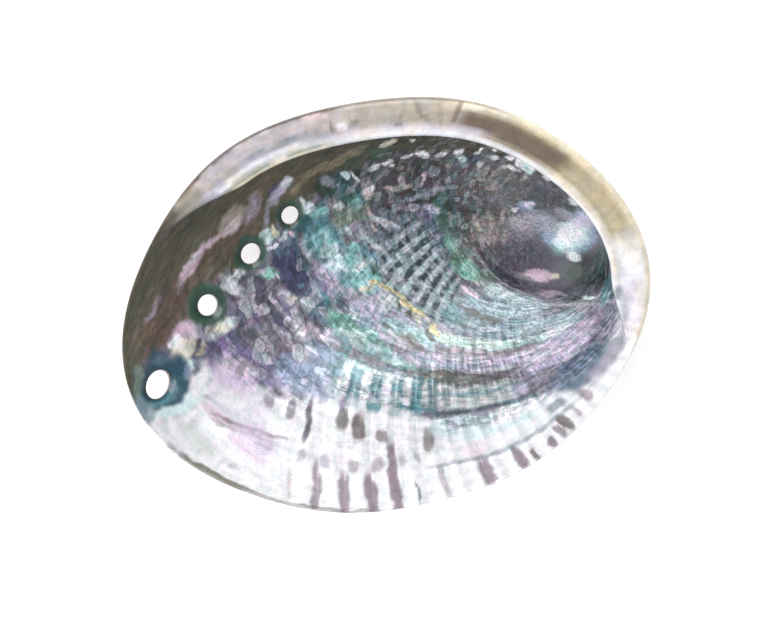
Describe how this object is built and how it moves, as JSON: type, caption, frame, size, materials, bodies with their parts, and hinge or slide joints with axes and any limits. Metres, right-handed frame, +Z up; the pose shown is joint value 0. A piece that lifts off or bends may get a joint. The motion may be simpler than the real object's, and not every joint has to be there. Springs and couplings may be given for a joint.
{
  "type": "abalone shell",
  "caption": "Abalone shell lying on its back with the mouth up: an oval pearly bowl with a flat inner plate, a low spire and a row of holes.",
  "frame": {"origin": "middle of the shell's length and width, at the level of the flat spot that it rests on", "axes": "+X towards the spire end along the longest extent, +Y across the shell towards the inner plate, +Z up out of the mouth"},
  "size_m": [0.1396, 0.1098, 0.0323],
  "materials": {
    "nacre": "glossy iridescent nacre inside, satin cream and brown plate, dull weathered back"
  },
  "bodies": {
    "root": {"abalone_shell": "nacre"}
  },
  "joints": []
}
